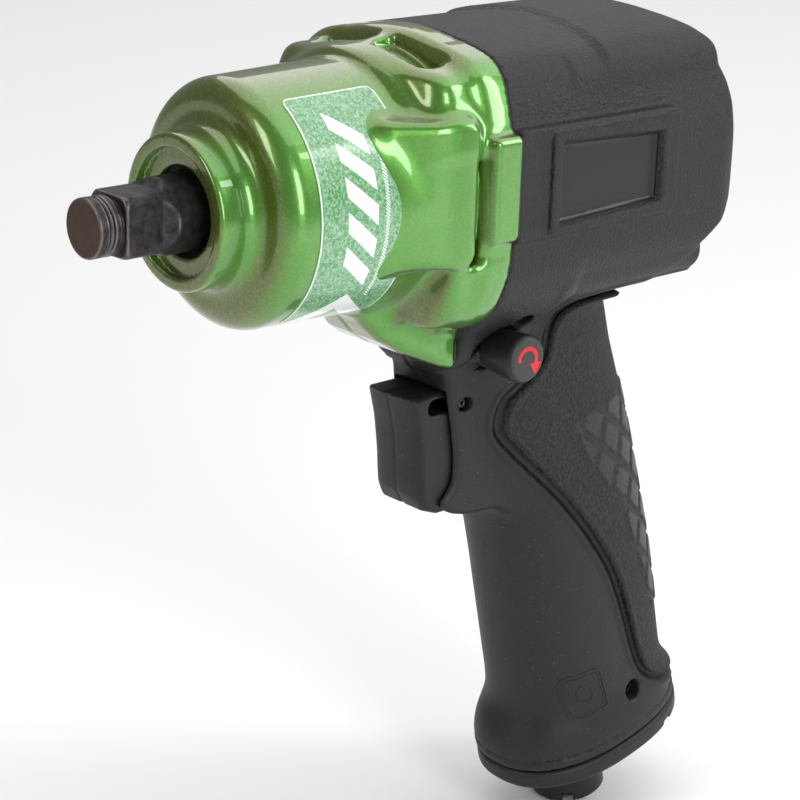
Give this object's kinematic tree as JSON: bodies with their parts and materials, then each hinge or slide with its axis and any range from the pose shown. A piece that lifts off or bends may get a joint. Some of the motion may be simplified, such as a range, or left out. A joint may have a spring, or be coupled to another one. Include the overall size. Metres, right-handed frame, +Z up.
{
  "type": "impact wrench",
  "caption": "Pistol-grip pneumatic impact wrench with a square drive, twin hammer mechanism, vane motor and air inlet in its handle.",
  "frame": {"origin": "centre of the anvil's front face, on the drive axis", "axes": "-Y points forward, out of the square drive; +Z is up, away from the handle; +X is the tool's left side"},
  "size_m": [0.0686, 0.1809, 0.2075],
  "materials": {
    "green_paint": "glossy metallic green enamel with fine flake under clear coat",
    "gasket_paper": "compressed fibre sheet",
    "label_film": "translucent pale green speckled film with a thin bright edge",
    "anvil_steel": "phosphated dark steel, bright at worn edges",
    "seal_rubber": "smooth nitrile rubber",
    "bushing_bronze": "sintered bronze",
    "ground_steel": "ground bearing steel",
    "forged_steel": "forged and hardened steel, oiled",
    "motor_iron": "machined iron",
    "housing_plastic": "charcoal glass-filled plastic with fine grain",
    "grip_rubber": "pebbled soft overmould",
    "button_plastic": "satin black plastic, grey face with red arrow",
    "spring_steel": "drawn spring wire",
    "trigger_plastic": "satin black plastic",
    "inlet_plastic": "satin black",
    "muffler_felt": "pressed felt",
    "base_plastic": "fine grained black plastic",
    "black_screw": "black oxide steel",
    "vane_composite": "phenolic composite"
  },
  "bodies": {
    "housing": {"hammer_case": "green_paint", "case_gasket": "gasket_paper", "side_label": "label_film", "anvil_oil_seal": "seal_rubber", "anvil_bushing": "bushing_bronze", "cage_washer": "ground_steel", "front_end_plate": "motor_iron", "front_bearing": "ground_steel", "cylinder": "motor_iron", "cylinder_dowel": "ground_steel", "rear_end_plate": "motor_iron", "rear_bearing": "ground_steel", "rear_gasket": "gasket_paper", "motor_housing": "housing_plastic", "grip_overmould": "grip_rubber", "reverse_sleeve": "bushing_bronze", "detent_ball": "ground_steel", "detent_spring": "spring_steel", "trigger_bush": "bushing_bronze", "trigger_roll_pin": "spring_steel", "throttle_seat": "seal_rubber", "throttle_spring": "spring_steel", "inlet_bushing": "inlet_plastic", "inlet_screen": "spring_steel", "exhaust_muffler": "muffler_felt", "base_gasket": "seal_rubber", "base_plate": "base_plastic", "base_screw": "black_screw", "case_screw_1": "black_screw", "case_screw_2": "black_screw", "case_screw_3": "black_screw", "case_screw_4": "black_screw"},
    "anvil": {"anvil": "anvil_steel", "socket_retaining_ring": "anvil_steel"},
    "rotor": {"rotor": "forged_steel", "hammer_cage": "forged_steel", "hammer_pin_1": "ground_steel", "hammer_pin_2": "ground_steel", "vane_1": "vane_composite", "vane_2": "vane_composite", "vane_3": "vane_composite", "vane_4": "vane_composite", "vane_5": "vane_composite", "vane_6": "vane_composite"},
    "front_hammer": {"front_hammer": "forged_steel"},
    "rear_hammer": {"rear_hammer": "forged_steel"},
    "trigger": {"trigger": "trigger_plastic", "trigger_rod": "ground_steel"},
    "throttle_valve": {"throttle_valve": "bushing_bronze"},
    "reverse_valve": {"reverse_spool": "ground_steel", "reverse_button_left": "button_plastic", "reverse_button_right": "button_plastic"}
  },
  "joints": [
    {"name": "anvil_spin", "type": "hinge", "parent": "housing", "child": "anvil", "pos_m": [0, 0.03, 0], "axis": [0, 1, 0], "continuous": true},
    {"name": "rotor_spin", "type": "hinge", "parent": "housing", "child": "rotor", "pos_m": [0, 0.1, 0], "axis": [0, 1, 0], "continuous": true},
    {"name": "front_hammer_rock", "type": "hinge", "parent": "rotor", "child": "front_hammer", "pos_m": [0.0176, 0.0553, 0], "axis": [0, 1, 0], "range_deg": [-4, 4]},
    {"name": "rear_hammer_rock", "type": "hinge", "parent": "rotor", "child": "rear_hammer", "pos_m": [-0.0176, 0.0696, 0], "axis": [0, 1, 0], "range_deg": [-4, 4]},
    {"name": "trigger_pull", "type": "slide", "parent": "housing", "child": "trigger", "axis": [0, 1, 0], "range_m": [0, 0.0065], "stiffness_N_per_m": 600, "springref_m": -0.003},
    {"name": "throttle_tip", "type": "hinge", "parent": "housing", "child": "throttle_valve", "pos_m": [0, 0.1276, -0.09474], "axis": [-1, 0, 0], "range_deg": [0, 12.5], "deforming": ["throttle_spring"]},
    {"name": "reverse_slide", "type": "slide", "parent": "housing", "child": "reverse_valve", "axis": [-1, 0, 0], "range_m": [0, 0.01]}
  ],
  "couplings": [
    {"joint": "throttle_tip", "follows": "trigger_pull", "rad_per_m": 33}
  ]
}
